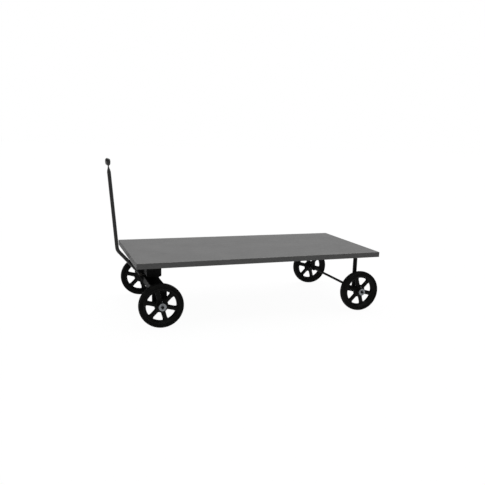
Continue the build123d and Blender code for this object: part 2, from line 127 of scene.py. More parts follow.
# where the deck's top edges have rubbed: a narrow band along them, broken up by a noise
def rubbedRim(tree, place, band, patch):
    low, high, middle = boxOf("deck_pan")
    parts = addNode(tree, "ShaderNodeSeparateXYZ", {0: place})
    beyond = []
    for axis, half in ((0, (high.x - low.x) / 2), (1, (high.y - low.y) / 2)):
        away = maths(tree, "ABSOLUTE", maths(tree, "SUBTRACT", parts.outputs[axis], middle[axis] * mm))
        beyond.append(maths(tree, "SUBTRACT", away, (half - band) * mm))
    nearest = maths(tree, "MAXIMUM", *beyond)
    rim = rangeOf(tree, nearest, 0.0, 1.0, 0.0, band * mm)
    height = rangeOf(tree, parts.outputs[2], 0.0, 1.0, (high.z - 2 * band) * mm, (high.z - band / 4) * mm)
    broken = rangeOf(tree, noiseAt(tree, place, patch, 5.0, 0.65), 0.0, 1.0, 0.5, 0.66)
    return maths(tree, "MULTIPLY", maths(tree, "MULTIPLY", rim, height), broken)


# fine dents and scratches on a flat that is loaded and dragged over, long along the deck
def dragMarks(tree, place, length, width):
    stretch = (width / length, 1, 1)
    stretched = addNode(tree, "ShaderNodeMapping", {"Vector": place, "Scale": stretch}).outputs[0]
    return rangeOf(tree, noiseAt(tree, stretched, width, 4.0, 0.6), 0.0, 1.0, 0.35, 0.7)


greyEnamelLook = {"deck": ("#4a4a4a", "#4f4f4f"), "tongue": ("#2b2b2b", "#303030"), "chip": "#747371",
                  "dust": "#555453", "orangePeel": 2.0, "cloud": 170, "scuff": 26, "rim": 2.5,
                  "dragLength": 260, "dragWidth": 9, "dragDepth": 0.25, "rough": (0.4, 0.52),
                  "bump": (0.12, 0.1)}


# Baked enamel on sheet steel: an even satin grey with orange peel, faint clouding, drag marks from
# loads and a broken pale line of bare steel along the deck's rubbed edges
def greyEnamel(name, tones, isDeck=False):
    look = greyEnamelLook
    material, tree, shader, place = newMaterial(name)
    cloud = rangeOf(tree, noiseAt(tree, place, look["cloud"], 4.0, 0.6), 0.0, 1.0)
    paint = mixColours(tree, cloud, *tones)
    scuffs = noiseAt(tree, place, look["scuff"], 6.0, 0.65)
    gloss = rangeOf(tree, scuffs, *look["rough"])
    if isDeck:
        drag = dragMarks(tree, place, look["dragLength"], look["dragWidth"])
        faint = maths(tree, "MULTIPLY", drag, look["dragDepth"])
        paint = mixColours(tree, faint, paint, look["dust"])
        worn = rubbedRim(tree, place, look["rim"], look["scuff"])
        paint = mixColours(tree, worn, paint, look["chip"])
        gloss = maths(tree, "ADD", gloss, faint)
    peel = noiseAt(tree, place, look["orangePeel"], 2.0)
    dress(tree, shader, paint, gloss, bumpFrom(tree, peel, *look["bump"]))
    shader.inputs["Specular IOR Level"].default_value = 0.22
    shader.inputs["IOR"].default_value = 1.5
    return material


blackEnamelLook = {"colour": "#090909", "dust": "#111111", "thin": "#1a1715", "orangePeel": 1.8, "cloud": 70,
                   "rough": (0.55, 0.7), "bump": (0.18, 0.12)}


# Black enamel brushed over welded steel: satin, a little dust, brown where the coat is thin
def blackEnamel():
    look = blackEnamelLook
    material, tree, shader, place = newMaterial("satin_black_enamel")
    cloud = rangeOf(tree, noiseAt(tree, place, look["cloud"], 5.0, 0.6), 0.0, 0.6)
    paint = mixColours(tree, cloud, look["colour"], look["dust"])
    brushed = rangeOf(tree, noiseAt(tree, place, look["cloud"] / 3, 6.0, 0.7), 0.0, 0.5, 0.58, 0.72)
    paint = mixColours(tree, brushed, paint, look["thin"])
    streak = noiseAt(tree, place, look["cloud"] / 4, 5.0, 0.6)
    peel = noiseAt(tree, place, look["orangePeel"], 2.0)
    dress(tree, shader, paint, rangeOf(tree, streak, *look["rough"]), bumpFrom(tree, peel, *look["bump"]))
    shader.inputs["Specular IOR Level"].default_value = 0.12
    shader.inputs["IOR"].default_value = 1.5
    return material


castIronLook = {"colour": "#080808", "high": "#141413", "sand": 1.4, "lumps": 14, "rough": (0.45, 0.62),
                "bump": (0.25, 0.5), "grain": (0.4, 0.25)}


# Sand-cast iron dipped in black enamel: the sand's grain shows through the paint
def castIron():
    look = castIronLook
    material, tree, shader, place = newMaterial("enamelled_sand_cast_iron")
    lumps = noiseAt(tree, place, look["lumps"], 5.0, 0.65)
    high = rangeOf(tree, lumps, 0.0, 1.0)
    paint = mixColours(tree, high, look["colour"], look["high"])
    sand = noiseAt(tree, place, look["sand"], 4.0, 0.7)
    coarse = bumpFrom(tree, lumps, *look["bump"])
    strength, depth = look["grain"]
    grain = addNode(tree, "ShaderNodeBump", {"Height": sand, "Strength": strength, "Distance": depth * mm,
                                             "Normal": coarse}).outputs["Normal"]
    dress(tree, shader, paint, rangeOf(tree, lumps, *look["rough"]), grain)
    shader.inputs["Specular IOR Level"].default_value = 0.08
    shader.inputs["IOR"].default_value = 1.5
    return material


rubberLook = {"colour": "#0e0e0e", "bloom": "#161615", "grit": 2.2, "bloomSize": 40, "rough": (0.6, 0.8),
              "bump": (0.25, 0.15)}


# Moulded black rubber: dull, with a grey bloom and floor grit pressed into it
def tyreRubber():
    look = rubberLook
    material, tree, shader, place = newMaterial("moulded_black_rubber")
    bloom = rangeOf(tree, noiseAt(tree, place, look["bloomSize"], 5.0, 0.6), 0.0, 1.0)
    paint = mixColours(tree, bloom, look["colour"], look["bloom"])
    grit = noiseAt(tree, place, look["grit"], 4.0, 0.6)
    dress(tree, shader, paint, rangeOf(tree, grit, *look["rough"]), bumpFrom(tree, grit, *look["bump"]))
    shader.inputs["Specular IOR Level"].default_value = 0.03
    shader.inputs["IOR"].default_value = 1.52
    return material


# Metal that has no paint on it: its colour, its roughness and the size of its marks in millimetres
bareMetals = {
    "bright_zinc_plate": {"colour": "#8e9194", "stain": "#66696c", "rough": (0.26, 0.42), "mark": 5},
    "turned_mild_steel": {"colour": "#454341", "stain": "#2c2a28", "rough": (0.36, 0.55), "mark": 3},
    "ground_bearing_steel": {"colour": "#c4c4c6", "stain": "#a9a9ac", "rough": (0.12, 0.2), "mark": 6},
    "oiled_spring_steel": {"colour": "#3c3a39", "stain": "#272524", "rough": (0.3, 0.42), "mark": 4},
}


# Zinc plate is pale and spangled, turned steel has gone dark with oil, ground steel is nearly a mirror
def bareMetal(name):
    look = bareMetals[name]
    material, tree, shader, place = newMaterial(name)
    marks = noiseAt(tree, place, look["mark"], 5.0, 0.6)
    tone = mixColours(tree, rangeOf(tree, marks, 0.0, 1.0), look["colour"], look["stain"])
    dress(tree, shader, tone, rangeOf(tree, marks, *look["rough"]), bumpFrom(tree, marks, 0.08, 0.1))
    shader.inputs["Metallic"].default_value = 1.0
    return material


gripLook = {"colour": "#121212", "worn": "#1f1f1f", "texture": 1.1, "palm": 30, "rough": (0.5, 0.34),
            "bump": (0.15, 0.1)}


# Moulded vinyl: black with a fine leather-like mould texture, shinier where the palm has been
def gripVinyl():
    look = gripLook
    material, tree, shader, place = newMaterial("moulded_black_vinyl")
    palm = rangeOf(tree, noiseAt(tree, place, look["palm"], 3.0), 0.0, 1.0)
    paint = mixColours(tree, palm, look["colour"], look["worn"])
    cells = addNode(tree, "ShaderNodeTexVoronoi", {"Vector": place, "Scale": 1 / (look["texture"] * mm)})
    raised = bumpFrom(tree, cells.outputs["Distance"], *look["bump"])
    dress(tree, shader, paint, rangeOf(tree, palm, *look["rough"]), raised)
    shader.inputs["IOR"].default_value = 1.5
    return material


finishes = {
    "grey_paint": greyEnamel("baked_grey_enamel", greyEnamelLook["deck"]),
    "black_paint": blackEnamel(),
    "black_casting": castIron(),
    "tyre": tyreRubber(),
    "black_plastic": gripVinyl(),
    "zinc_steel": bareMetal("bright_zinc_plate"),
    "plain_steel": bareMetal("turned_mild_steel"),
    "bearing_steel": bareMetal("ground_bearing_steel"),
    "spring_steel": bareMetal("oiled_spring_steel"),
}
deckFinish = greyEnamel("baked_grey_enamel_deck", greyEnamelLook["deck"], True)
tongueFinish = greyEnamel("baked_grey_enamel_tongue", greyEnamelLook["tongue"])
print("materials made:", len(finishes) + 2)

slotOf = {part["node"]: part["material_slot"] for part in frame["record"]["subparts"]}
bodyOf = {node: body for body, members in frame["record"]["behaviour"]["bodies"].items() for node in members}
for name, node in nodes.items():
    node.data.materials.clear()
    node.data.materials.append(finishes[slotOf[name]])


# puts a finished piece in the scene, on its body, in its finish
def keep(mesh, name, slot, body, replaced=(), sharpAngle=32, finish=None):
    mesh.polygons.foreach_set("use_smooth", [True] * len(mesh.polygons))
    mesh.set_sharp_from_angle(angle=math.radians(sharpAngle))
    mesh.materials.clear()
    mesh.materials.append(finish or finishes[slot])
    piece = bpy.data.objects.new(name, mesh)
    bpy.context.scene.collection.objects.link(piece)
    even = piece.modifiers.new("even shading", "WEIGHTED_NORMAL")
    even.keep_sharp = True
    if replaced:
        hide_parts(*replaced)
    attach(piece, body)
    return piece


# a mesh in metres from a bmesh drawn in millimetres
def meshFrom(bm, name):
    bmesh.ops.remove_doubles(bm, verts=bm.verts, dist=0.005)
    bmesh.ops.recalc_face_normals(bm, faces=bm.faces)
    bmesh.ops.scale(bm, vec=(mm, mm, mm), verts=bm.verts)
    mesh = bpy.data.meshes.new(name)
    bm.to_mesh(mesh)
    bm.free()
    return mesh


# keeps a finished piece in place of a CAD node, with that node's body and slot
def keepFor(bm, node, name, sharpAngle=32, finish=None):
    return keep(meshFrom(bm, name), name, slotOf[node], bodyOf[node], [node], sharpAngle, finish)


# keeps weld beads, which stand for no CAD node
def keepBeads(bm, name, slot, body):
    keep(meshFrom(bm, name), name, slot, body, (), 60)


def edgesOf(geometry):
    return [g for g in geometry if isinstance(g, bmesh.types.BMEdge)]


def vertsOf(geometry):
    return [g for g in geometry if isinstance(g, bmesh.types.BMVert)]


# adds a profile turned about a line along Y or Z; points are (radius, along the line), and a
# profile that starts and ends on the line is left open
def turn(bm, points, centre, axis="Y", steps=48):
    along = Vector((0, 1, 0)) if axis == "Y" else Vector((0, 0, 1))
    ring = [bm.verts.new(centre + Vector((radius, 0, 0)) + along * height) for radius, height in points]
    edges = [bm.edges.new(pair) for pair in zip(ring, ring[1:])]
    if points[0][0] > 0:
        edges.append(bm.edges.new((ring[-1], ring[0])))
    bmesh.ops.spin(bm, geom=ring + edges, cent=centre, axis=along, angle=2 * math.pi, steps=steps,
                   use_merge=True)


# a piece that is one turned profile, kept in place of its node
def keepTurned(points, centre, axis, steps, *kept):
    bm = bmesh.new()
    turn(bm, points, centre, axis, steps)
    keepFor(bm, *kept)


# points of a round corner from one angle to another, in degrees
def cornerArc(centre, radius, start, end, count=5):
    turnsAt = [math.radians(start + (end - start) * i / count) for i in range(count + 1)]
    return [(centre[0] + radius * math.cos(a), centre[1] + radius * math.sin(a)) for a in turnsAt]


# a ring's profile with small rounded corners
def ringProfile(inner, outer, low, high, soft):
    return (cornerArc((outer - soft, high - soft), soft, 90, 0, 3)
            + cornerArc((outer - soft, low + soft), soft, 0, -90, 3)
            + cornerArc((inner + soft, low + soft), soft, 270, 180, 3)
            + cornerArc((inner + soft, high - soft), soft, 180, 90, 3))


# a round bar's profile with chamfered ends
def barProfile(radius, low, high, chamfer):
    return [(0, low), (radius - chamfer, low), (radius, low + chamfer), (radius, high - chamfer),
            (radius - chamfer, high), (0, high)]


# the outline of a rectangle with round corners, anticlockwise
def roundedBox(x, z, width, height, radius, count=4):
    right, top = x + width / 2 - radius, z + height / 2 - radius
    left, bottom = x - width / 2 + radius, z - height / 2 + radius
    outline = []
    corners = (((right, top), 0), ((left, top), 90), ((left, bottom), 180), ((right, bottom), 270))
    for corner, start in corners:
        outline += cornerArc(corner, radius, start, start + 90, count)
    return outline


# a plate: an outline of (x, z) points in side view, thickened from one y to another, its rims softened
def slab(bm, outline, start, end, soft=1.0, segments=2, lay=None):
    drawn = [bm.verts.new((x, start, z)) for x, z in outline]
    face = bmesh.ops.contextual_create(bm, geom=drawn)["faces"][0]
    grown = bmesh.ops.extrude_face_region(bm, geom=[face])["geom"]
    far = vertsOf(grown)
    bmesh.ops.translate(bm, verts=far, vec=(0, end - start, 0))
    rims = [e for v in drawn + far for e in v.link_edges if abs(e.verts[0].co.y - e.verts[1].co.y) < soft / 2]
    shaped = bmesh.ops.bevel(bm, geom=list(set(rims)), offset=soft, segments=segments, affect="EDGES",
                             profile=0.5, material=-1)
    if lay:
        region = {v for f in shaped["faces"] for v in f.verts}
        bmesh.ops.transform(bm, matrix=lay, verts=list(region))


# points no further apart than a step, along straight runs
def evenly(points, step):
    path = [Vector(points[0])]
    for before, after in zip(points, points[1:]):
        before, after = Vector(before), Vector(after)
        count = max(1, round((after - before).length / step))
        path += [before.lerp(after, i / count) for i in range(1, count + 1)]
    return path


# stations for a sweep: each point with two half-axes square to the path, carried along without twist
def stationsAlong(path, radii, hint):
    stations = []
    side = Vector(hint)
    for i, point in enumerate(path):
        ahead = (path[min(i + 1, len(path) - 1)] - path[max(i - 1, 0)]).normalized()
        side = (side - ahead * side.dot(ahead)).normalized()
        other = ahead.cross(side)
        radius = radii[i] if isinstance(radii, list) else radii
        stations.append((point, side * radius, other * radius))
    return stations


# sweeps an ellipse through stations of (place, first half-axis, second half-axis)
def sweep(bm, stations, segments=12):
    place, first, second = stations[0]
    ring = bmesh.ops.create_circle(bm, cap_ends=False, radius=1.0, segments=segments)["verts"]
    edges = list({e for v in ring for e in v.link_edges})
    for v in ring:
        v.co = place + first * v.co.x + second * v.co.y
    bmesh.ops.contextual_create(bm, geom=edges)
    for nextPlace, nextFirst, nextSecond in stations[1:]:
        grown = bmesh.ops.extrude_edge_only(bm, edges=edges)["geom"]
        fresh = set(vertsOf(grown))
        for v in fresh:
            away = v.co - place
            v.co = (nextPlace + nextFirst * (away.dot(first) / first.length_squared)
                    + nextSecond * (away.dot(second) / second.length_squared))
        edges = [e for e in edgesOf(grown) if e.verts[0] in fresh and e.verts[1] in fresh]
        place, first, second = nextPlace, nextFirst, nextSecond
    bmesh.ops.contextual_create(bm, geom=edges)


weldLook = {"ripple": 3.2, "depth": 0.16, "sides": 8}


# a fillet weld: a half-buried bead with the ripples of a hand-run arc
def weld(bm, points, radius):
    path = evenly(points, weldLook["ripple"] / 2)
    if path[0] == path[-1]:
        path.pop()  # the two ends of a ring stay just apart
    radii = [radius * (1 - weldLook["depth"] * (i % 2)) for i in range(len(path))]
    radii[0] = radii[-1] = radius / 2
    sweep(bm, stationsAlong(path, radii, (0.3, 0.5, 0.8)), weldLook["sides"])


# a weld all round a post that stands along Z, or round a boss along Y
def weldRound(bm, centre, ring, radius, axis="Z"):
    count = max(12, round(2 * math.pi * ring / weldLook["ripple"])) * 2
    path = []
    for i in range(count):
        a = 2 * math.pi * i / count
        out = Vector((math.cos(a), math.sin(a), 0)) if axis == "Z" else Vector((math.cos(a), 0, math.sin(a)))
        path.append(centre + out * ring)
    radii = [radius * (1 - weldLook["depth"] * (i % 2)) for i in range(len(path))]
    sweep(bm, stationsAlong(path, radii, (0, 0, 1) if axis == "Z" else (0, 1, 0)), weldLook["sides"])


# a hexagon head or nut with its corners chamfered, standing along Z
def hexagon(bm, centre, radius, low, high, chamfer):
    outline = cornerArc((0, 0), radius, 0, 300, 5)
    lay = Matrix.Translation(centre) @ Matrix.Rotation(-math.pi / 2, 4, "X")
    slab(bm, outline, -high, -low, chamfer, 2, lay)


deckLook = {"sheet": 2.7, "bend": 2.9, "corner": 3}


# the deck: one sheet bent down on four sides, open underneath, its corners closed by a ground weld
def makeDeck():
    low, high, middle = boxOf("deck_pan")
    bm = bmesh.new()
    bmesh.ops.create_cube(bm, size=1.0)
    bmesh.ops.scale(bm, vec=high - low, verts=bm.verts)
    bmesh.ops.translate(bm, vec=middle, verts=bm.verts)
    under = [f for f in bm.faces if all(v.co.z < middle.z for v in f.verts)]
    bmesh.ops.delete(bm, geom=under, context="FACES_ONLY")
    posts = [e for e in bm.edges if abs(e.verts[0].co.z - e.verts[1].co.z) > 1]
    bmesh.ops.bevel(bm, geom=posts, offset=deckLook["corner"], segments=4, affect="EDGES", profile=0.5,
                    material=-1)
    bends = [e for e in bm.edges if all(v.co.z > high.z - 0.01 for v in e.verts)]
    bmesh.ops.bevel(bm, geom=bends, offset=deckLook["bend"], segments=5, affect="EDGES", profile=0.5,
                    material=-1)
    piece = keepFor(bm, "deck_pan", "deck_sheet", 40, deckFinish)
    wall = piece.modifiers.new("sheet", "SOLIDIFY")
    wall.thickness = deckLook["sheet"] * mm
    wall.offset = -1
    piece.modifiers.move(1, 0)


channelLook = {"count": 4, "wall": 3, "bend": 4, "stitches": 7, "stitch": 42, "pitch": 128, "bead": 2.2}


# four pressed channels across the underside, stitch-welded to the sheet along both flanges
def makeChannels():
    look = channelLook
    low, high, _ = boxOf("deck_channels")
    legLow, legHigh, _ = boxOf("left_rear_leg")
    half = (legHigh.x - legLow.x) / 2
    firstX, lastX = low.x + half, high.x - half
    bm, beads = bmesh.new(), bmesh.new()
    for n in range(look["count"]):
        x = firstX + (lastX - firstX) * n / (look["count"] - 1)
        outer = [(x + half, high.z), (x + half, low.z + look["bend"])]
        outer += cornerArc((x + half - look["bend"], low.z + look["bend"]), look["bend"], 0, -90, 4)[1:]
        outer += cornerArc((x - half + look["bend"], low.z + look["bend"]), look["bend"], 270, 180, 4)
        outer += [(x - half, high.z), (x - half + look["wall"], high.z)]
        tight = look["bend"] - look["wall"]
        inner = cornerArc((x - half + look["bend"], low.z + look["bend"]), tight, 180, 270, 3)
        inner += cornerArc((x + half - look["bend"], low.z + look["bend"]), tight, 270, 360, 3)
        slab(bm, outer + inner + [(x + half - look["wall"], high.z)], low.y, high.y, 0.5, 1)
        for side in (-1, 1):
            for k in range(look["stitches"]):
                y = (k - look["stitches"] // 2) * look["pitch"]
                edge = x + side * half
                run = [(edge, y - look["stitch"] / 2, high.z), (edge, y + look["stitch"] / 2, high.z)]
                weld(beads, run, look["bead"])
    keepFor(bm, "deck_channels", "deck_stiffeners")
    keepBeads(beads, "deck_stitch_welds", "grey_paint", "platform")


bolsterLook = {"corner": 9, "bead": 3.2, "plateSoft": 1.2}


# both bolsters have a square tube's outside, and their ends are covered: the upper one's by plates
# welded on, the lower one's by the front legs
def makeBolsters():
    look = bolsterLook
    low, high, middle = boxOf("upper_bolster")
    bm = bmesh.new()
    width, height = high.x - low.x, high.z - low.z
    outline = roundedBox(middle.x, middle.z, width, height, look["corner"])
    slab(bm, outline, low.y, high.y, 0.6, 1)
    keepFor(bm, "upper_bolster", "upper_bolster_tube")
    plateLow, plateHigh, _ = boxOf("upper_bolster_ends")
    bm = bmesh.new()
    slab(bm, outline, plateLow.y, low.y, look["plateSoft"])
    slab(bm, outline, high.y, plateHigh.y, look["plateSoft"])
    keepFor(bm, "upper_bolster_ends", "upper_bolster_end_plates")
    beads = bmesh.new()
    inset = look["bead"] * 0.7
    rim = roundedBox(middle.x, middle.z, width - inset, height - inset, look["corner"])
    for y in (low.y, high.y):
        weld(beads, [(x, y, z) for x, z in rim + rim[:1]], look["bead"] * 0.75)
    for x in (low.x, high.x):
        weld(beads, [(x, low.y + 10, high.z - 1), (x, high.y - 10, high.z - 1)], look["bead"])
    keepBeads(beads, "upper_bolster_welds", "black_paint", "platform")
    low, high, middle = boxOf("lower_bolster")
    bm = bmesh.new()
    outline = roundedBox(middle.x, middle.z, high.x - low.x, high.z - low.z, look["corner"])
    slab(bm, outline, low.y, high.y, 0.6, 1)
    keepFor(bm, "lower_bolster", "lower_bolster_tube")


turntableLook = {"bore": 14, "edge": 1.4, "balls": 16}


# the turntable's two races, their edges rounded, and the balls between them
def makeTurntable():
    look = turntableLook
    for name in ("upper_race", "lower_race"):
        low, high, middle = boxOf(name)
        outer, half = (high.x - low.x) / 2, (high.z - low.z) / 2
        ring = ringProfile(look["bore"], outer, -half, half, look["edge"])
        keepTurned(ring, middle, "Z", 96, name, name + "_ring")
    low, high, middle = boxOf("thrust_balls")
    radius = (high.z - low.z) / 2
    circle = (high.x - low.x) / 2 - radius
    bm = bmesh.new()
    for i in range(look["balls"]):
        a = math.radians(360 / look["balls"] * i)
        place = Matrix.Translation(middle + Vector((circle * math.cos(a), circle * math.sin(a), 0)))
        bmesh.ops.create_icosphere(bm, subdivisions=3, radius=radius, matrix=place)
    keepFor(bm, "thrust_balls", "turntable_balls")


kingpinLook = {"radius": 12.7, "head": 24, "thread": 2.0, "threadDepth": 0.9, "chamfer": 2}


# the kingpin: a forged head inside the upper bolster and a screw thread at its foot
def makeKingpin():
    look = kingpinLook
    low, high, middle = boxOf("kingpin")
    nutLow, nutHigh, _ = boxOf("kingpin_nut")
    washerLow, washerHigh, _ = boxOf("kingpin_washer")
    radius = look["radius"]
    profile = [(0, low.z), (radius - look["chamfer"], low.z)]
    z = low.z + look["chamfer"]
    while z < nutHigh.z:
        profile += [(radius, z), (radius - look["threadDepth"], z + look["thread"] / 2)]
        z += look["thread"]
    neck = high.z - radius
    profile += [(radius, z), (radius, neck), (look["head"] - 2, neck), (look["head"], neck + 2),
                (look["head"], high.z - 4), (look["head"] - 5, high.z), (0, high.z)]
    foot = Vector((middle.x, middle.y, 0))
    keepTurned(profile, foot, "Z", 48, "kingpin", "kingpin_forging", 45)
    ring = ringProfile(radius + slip, (washerHigh.x - washerLow.x) / 2, washerLow.z, washerHigh.z, 0.5)
    keepTurned(ring, foot, "Z", 64, "kingpin_washer", "kingpin_flat_washer")
    bm = bmesh.new()
    hexagon(bm, foot, (nutHigh.y - nutLow.y) / 2 / math.cos(math.pi / 6), nutLow.z, nutHigh.z, 1.4)
    keepFor(bm, "kingpin_nut", "kingpin_hex_nut")


splitPinLook = {"wire": 0.85, "eye": 3.0, "spread": 5.6, "above": 2.6, "below": 5.0}


# a split pin of bent wire: an eye, two legs side by side, and their tips bent apart
def splitPin(bm, centre, along, spread, shaftRadius):
    look = splitPinLook
    high = shaftRadius + look["above"]
    low = -shaftRadius - look["below"]
    wire = look["wire"]
    path = [(-look["spread"], low), (-2.2, low), (-1.2, low + 0.7), (-wire, low + 2), (-wire, high)]
    for i in range(11):
        a = math.radians(250 - 32 * i)
        path.append((look["eye"] * math.cos(a), high + look["eye"] + look["eye"] * math.sin(a)))
    path += [(wire, high), (wire, low + 2), (1.2, low + 0.7), (2.2, low), (look["spread"], low)]
    points = [centre + spread * x + along * z for x, z in path]
    sweep(bm, stationsAlong(points, wire * 0.94, spread.cross(along)), 8)


def makeSplitPins():
    up, forward, aside = Vector((0, 0, 1)), Vector((1, 0, 0)), Vector((0, 1, 0))
    for end in ("front", "rear"):
        name = end + "_axle_cotters"
        low, high, _ = boxOf(name)
        axleLow, axleHigh, axleMiddle = boxOf(end + "_axle")
        bm = bmesh.new()
        wire = splitPinLook["eye"] + 2 * splitPinLook["wire"]
        for y in (low.y + wire - 0.2, high.y - wire + 0.2):
            splitPin(bm, Vector((axleMiddle.x, y, axleMiddle.z)), up, forward, (axleHigh.z - axleLow.z) / 2)
        keepFor(bm, name, end + "_axle_split_pins", 60)
    bm = bmesh.new()
    spot = Vector((boxOf("hinge_pin")[2].x, boxOf("hinge_cotter")[2].y, boxOf("hinge_washer")[2].z))
    splitPin(bm, spot, up, forward, hingeLook["pin"])
    keepFor(bm, "hinge_cotter", "hinge_split_pin", 60)
    bm = bmesh.new()
    spot = Vector((boxOf("kingpin")[2].x, 0, boxOf("kingpin_cotter")[2].z))
    splitPin(bm, spot, forward, aside, kingpinLook["radius"])
    keepFor(bm, "kingpin_cotter", "kingpin_split_pin", 60)


axleLook = {"radius": 9.5, "chamfer": 1.6, "washer": 26, "washerThick": 3, "spacer": 15, "edge": 0.7}


# solid axles with turned ends, the washers that hold the hubs, and the spacers inside them
def makeAxles():
    look = axleLook
    bore = look["radius"] + slip
    for end in ("front", "rear"):
        name = end + "_axle"
        low, high, middle = boxOf(name)
        centre = Vector((middle.x, 0, middle.z))
        bar = barProfile(look["radius"], low.y, high.y, look["chamfer"])
        keepTurned(bar, centre, "Y", 48, name, name + "_bar")
        name = end + "_hub_washers"
        low, high, _ = boxOf(name)
        bm = bmesh.new()
        for sign, face in ((1, high.y), (-1, low.y)):
            spans = sorted((face, face - sign * look["washerThick"]))
            turn(bm, ringProfile(bore, look["washer"], *spans, look["edge"]), centre, "Y", 72)
        keepFor(bm, name, name + "_plated")
        name = end + "_axle_spacers"
        outerFace = boxOf(name)[1].y
        bm = bmesh.new()
        for sign in (-1, 1):
            spans = sorted((sign * innerFaces[end], sign * outerFace))
            turn(bm, ringProfile(bore, look["spacer"], *spans, look["edge"]), centre, "Y", 48)
        keepFor(bm, name, name + "_turned")


rearLegLook = {"post": 16, "boss": 19, "bossHalf": 22, "plate": 6, "plateCorner": 6, "bead": 3,
               "boltInset": 13, "boltHead": 9, "headThick": 4.5}

# where the spacers start: the outer face of a front leg, and of a rear leg's boss
innerFaces = {"front": boxOf("right_front_leg")[1].y,
              "rear": boxOf("right_rear_leg")[2].y + rearLegLook["bossHalf"]}


# a rear leg: a plate bolted under a channel, a tube welded to it and a boss for the axle
def makeRearLegs():
    look = rearLegLook
    bolts = bmesh.new()
    axle = boxOf("rear_axle")[2]
    for name in ("left_rear_leg", "right_rear_leg"):
        low, high, middle = boxOf(name)
        bm = bmesh.new()
        plateLow = high.z - look["plate"]
        lay = Matrix.Translation((middle.x, middle.y, 0)) @ Matrix.Rotation(-math.pi / 2, 4, "X")
        outline = roundedBox(0, 0, high.x - low.x, high.y - low.y, look["plateCorner"])
        slab(bm, outline, -high.z, -plateLow, 0.8, 2, lay)
        post = Vector((middle.x, middle.y, 0))
        top = plateLow + 1
        turn(bm, [(0, axle.z), (look["post"], axle.z), (look["post"], top), (0, top)], post, "Z", 48)
        centre = Vector((middle.x, middle.y, axle.z))
        bossHalf = look["bossHalf"]
        boss = ringProfile(axleLook["radius"] + slip, look["boss"], -bossHalf, bossHalf, 1.5)
        turn(bm, boss, centre, "Y", 64)
        keepFor(bm, name, name + "_fabricated")
        beads = bmesh.new()
        weldRound(beads, Vector((middle.x, middle.y, plateLow)), look["post"], look["bead"])
        saddle = []
        for i in range(72):
            a = 2 * math.pi * i / 72
            x = look["post"] * math.cos(a)
            z = math.sqrt(max(look["boss"] ** 2 - x ** 2, 0))
            saddle.append((middle.x + x, middle.y + look["post"] * math.sin(a), axle.z + z))
        weld(beads, saddle, look["bead"] * 0.8)
        keepBeads(beads, name + "_welds", slotOf[name], "platform")
        for dx in (-1, 1):
            for dy in (-1, 1):
                x = middle.x + dx * ((high.x - low.x) / 2 - look["boltInset"])
                y = middle.y + dy * ((high.y - low.y) / 2 - look["boltInset"])
                spot = Vector((x, y, 0))
                hexagon(bolts, spot, look["boltHead"], plateLow - look["headThick"], plateLow, 0.7)
    keepFor(bolts, "rear_leg_bolts", "rear_leg_hex_bolts")


frontLegLook = {"foot": 26, "shoulder": 168, "corner": 4, "bead": 3, "soft": 1.2}


# a front leg: a plate on each end of the lower bolster, tapering to a round foot on the axle
def makeFrontLegs():
    look = frontLegLook
    beads = bmesh.new()
    bolsterLow, bolsterHigh, bolsterMiddle = boxOf("lower_bolster")
    axle = boxOf("front_axle")[2]
    tight = look["corner"]
    for side, sign in (("left", -1), ("right", 1)):
        name = side + "_front_leg"
        low, high, middle = boxOf(name)
        half = (high.x - low.x) / 2
        outline = [(middle.x - look["foot"], axle.z), (middle.x - half, look["shoulder"])]
        outline += cornerArc((middle.x - half + tight, high.z - tight), tight, 180, 90, 3)
        outline += cornerArc((middle.x + half - tight, high.z - tight), tight, 90, 0, 3)
        outline += [(middle.x + half, look["shoulder"]), (middle.x + look["foot"], axle.z)]
        outline += cornerArc((middle.x, axle.z), look["foot"], 0, -180, 18)[1:-1]
        bm = bmesh.new()
        slab(bm, outline, low.y, high.y, look["soft"])
        keepFor(bm, name, name + "_plate")
        face = low.y if sign > 0 else high.y
        width, height = bolsterHigh.x - bolsterLow.x - 2, bolsterHigh.z - bolsterLow.z - 2
        rim = roundedBox(middle.x, bolsterMiddle.z, width, height, bolsterLook["corner"])
        weld(beads, [(x, face, z) for x, z in rim + rim[:1]], look["bead"])
        weldRound(beads, Vector((axle.x, face, axle.z)), axleLook["radius"] + 1, look["bead"] * 0.8, "Y")
    keepBeads(beads, "front_truck_welds", "black_paint", "front_truck")


hingeLook = {"pin": 8, "head": 13.6, "headThick": 4.8, "washer": 14, "ear": 15, "gap": 44, "thick": 8,
             "bead": 2.6, "sleeve": 11, "eyeWidth": 16, "stop": 4, "stopTip": 9, "step": 3, "wire": 1.5,
             "coil": 13.4, "pitch": 3.3, "turns": 3, "stepsPerTurn": 24}


